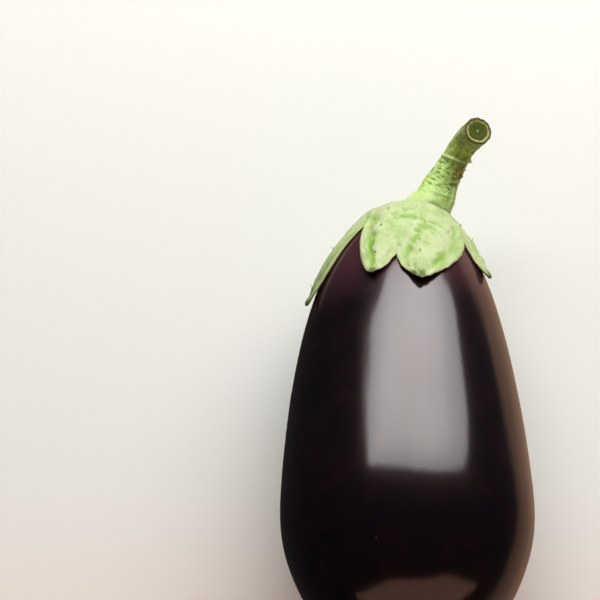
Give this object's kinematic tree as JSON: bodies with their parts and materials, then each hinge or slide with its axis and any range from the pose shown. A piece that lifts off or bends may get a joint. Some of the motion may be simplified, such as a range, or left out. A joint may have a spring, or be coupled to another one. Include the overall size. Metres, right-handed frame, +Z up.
{
  "type": "eggplant",
  "caption": "Whole globe eggplant lying on its side: glossy pear-shaped fruit, lobed green calyx over its neck and a curved, cut stem.",
  "frame": {"origin": "middle of the small flat on the fruit's underside, on the surface that the fruit rests on", "axes": "+Y along the fruit's length towards the stem, +Z up, +X to the right when seen from the blossom tip"},
  "size_m": [0.0938, 0.2109, 0.0944],
  "materials": {
    "aubergine_skin": "smooth waxy skin, high gloss",
    "calyx_green": "matt, finely hairy plant tissue"
  },
  "bodies": {
    "root": {"fruit": "aubergine_skin", "calyx_and_stem": "calyx_green"}
  },
  "joints": []
}
